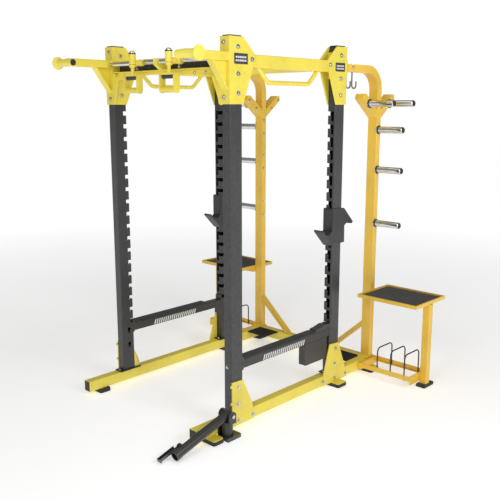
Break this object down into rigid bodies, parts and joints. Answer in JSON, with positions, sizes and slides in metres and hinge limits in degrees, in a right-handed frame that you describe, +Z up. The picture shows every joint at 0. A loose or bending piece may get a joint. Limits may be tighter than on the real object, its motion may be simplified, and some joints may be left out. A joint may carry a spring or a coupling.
{
  "type": "power cage",
  "caption": "Steel lifting cage with slotted uprights, bar hooks, safety arms, sliding pull-up handles, weight plate storage and a landmine swivel.",
  "frame": {"origin": "centre of the bounding box's underside, on the floor", "axes": "+Z up, +X to the right seen from the front, +Y from the pull-up handles at the front towards the plate storage at the back"},
  "size_m": [2.266, 2.3308, 2.445],
  "materials": {
    "frame_paint": "gloss powder coat, lemon yellow",
    "storage_paint": "gloss powder coat, deeper yellow",
    "grip_paint": "textured powder coat, bright yellow",
    "upright_paint": "satin charcoal powder coat",
    "black_paint": "satin black powder coat",
    "dark_paint": "satin charcoal powder coat",
    "chrome": "polished chrome plate",
    "bright_steel": "turned steel",
    "brushed_steel": "dark brushed steel",
    "bolt_steel": "bright zinc plate",
    "black_rubber": "matte moulded rubber",
    "mat_rubber": "ribbed matte rubber",
    "grip_rubber": "matte rubber sleeve",
    "cap_plastic": "satin moulded plastic",
    "liner_plastic": "satin hard plastic",
    "badge_plate": "gloss, blank"
  },
  "bodies": {
    "cage_frame": {"base_gussets": "frame_paint", "blank_badges": "badge_plate", "bumper_dividers": "black_paint", "bumper_trays": "storage_paint", "corner_end_plates": "frame_paint", "corner_side_plates": "frame_paint", "end_flanges": "frame_paint", "fat_grips": "grip_paint", "floor_plates": "frame_paint", "frame_bolts": "bolt_steel", "front_beam": "frame_paint", "horn_arms": "storage_paint", "landmine_bracket": "dark_paint", "left_base_rail": "frame_paint", "left_front_upright": "upright_paint", "left_pullup_arm": "frame_paint", "left_rear_upright": "upright_paint", "left_side_beam": "frame_paint", "left_side_grip_bar": "frame_paint", "left_storage_column": "storage_paint", "plastic_caps": "cap_plastic", "rear_beam": "frame_paint", "rear_cross_member": "frame_paint", "right_base_rail": "frame_paint", "right_front_upright": "upright_paint", "right_pullup_arm": "frame_paint", "right_rear_upright": "upright_paint", "right_side_beam": "frame_paint", "right_side_grip_bar": "frame_paint", "right_storage_column": "storage_paint", "rubber_feet": "black_rubber", "shelf_frames": "storage_paint", "shelf_mats": "mat_rubber", "slide_rail": "chrome", "storage_bolts": "bolt_steel", "storage_horns": "chrome", "storage_posts": "storage_paint", "strap_hooks": "brushed_steel", "tread_plates": "mat_rubber", "upright_base_plates": "black_paint"},
    "right_hook": {"right_hook_body": "black_paint", "right_hook_liner": "liner_plastic"},
    "left_hook": {"left_hook_body": "black_paint", "left_hook_liner": "liner_plastic"},
    "right_safety": {"right_safety_arm": "upright_paint", "right_safety_liner": "black_rubber"},
    "left_safety": {"left_safety_arm": "upright_paint", "left_safety_liner": "black_rubber"},
    "right_slider": {"right_carriage": "frame_paint"},
    "left_slider": {"left_carriage": "frame_paint"},
    "right_lock": {"right_pull_pin": "bright_steel"},
    "left_lock": {"left_pull_pin": "bright_steel"},
    "right_swing_handle": {"right_handle": "frame_paint", "right_handle_sleeve": "grip_rubber"},
    "left_swing_handle": {"left_handle": "frame_paint", "left_handle_sleeve": "grip_rubber"},
    "landmine_swivel": {"landmine_yoke": "dark_paint", "landmine_pin": "bolt_steel"},
    "landmine_arm": {"landmine_tube": "dark_paint"},
    "landmine_catch": {"landmine_latch": "brushed_steel"}
  },
  "joints": [
    {"name": "right_hook_lift", "type": "slide", "parent": "cage_frame", "child": "right_hook", "axis": [0, 0, 1], "range_m": [0, 0.02]},
    {"name": "right_safety_lift", "type": "slide", "parent": "cage_frame", "child": "right_safety", "axis": [0, 0, 1], "range_m": [0, 0.02]},
    {"name": "right_handle_slide", "type": "slide", "parent": "cage_frame", "child": "right_slider", "axis": [1, 0, 0], "range_m": [-0.09, 0.24]},
    {"name": "right_lock_pull", "type": "slide", "parent": "right_slider", "child": "right_lock", "axis": [0, 0, -1], "range_m": [0, 0.01], "stiffness_N_per_m": 500, "springref_m": -0.005},
    {"name": "right_handle_turn", "type": "hinge", "parent": "right_slider", "child": "right_swing_handle", "pos_m": [0.18, -0.6771, 2.24], "axis": [0, 0, 1], "continuous": true},
    {"name": "left_hook_lift", "type": "slide", "parent": "cage_frame", "child": "left_hook", "axis": [0, 0, 1], "range_m": [0, 0.02]},
    {"name": "left_safety_lift", "type": "slide", "parent": "cage_frame", "child": "left_safety", "axis": [0, 0, 1], "range_m": [0, 0.02]},
    {"name": "left_handle_slide", "type": "slide", "parent": "cage_frame", "child": "left_slider", "axis": [-1, 0, 0], "range_m": [-0.09, 0.24]},
    {"name": "left_lock_pull", "type": "slide", "parent": "left_slider", "child": "left_lock", "axis": [0, 0, -1], "range_m": [0, 0.01], "stiffness_N_per_m": 500, "springref_m": -0.005},
    {"name": "left_handle_turn", "type": "hinge", "parent": "left_slider", "child": "left_swing_handle", "pos_m": [-0.18, -0.6771, 2.24], "axis": [0, 0, 1], "continuous": true},
    {"name": "landmine_turn", "type": "hinge", "parent": "cage_frame", "child": "landmine_swivel", "pos_m": [0.64, -0.6531, 0.118], "axis": [0, 0, 1], "range_deg": [0, 90]},
    {"name": "landmine_raise", "type": "hinge", "parent": "landmine_swivel", "child": "landmine_arm", "pos_m": [0.64, -0.6531, 0.157], "axis": [-1, 0, 0], "range_deg": [0, 100]},
    {"name": "landmine_catch_turn", "type": "hinge", "parent": "landmine_arm", "child": "landmine_catch", "pos_m": [0.6, -1.01439, 0.06098], "axis": [0, 0.2698, -0.9629], "range_deg": [0, 90]}
  ]
}
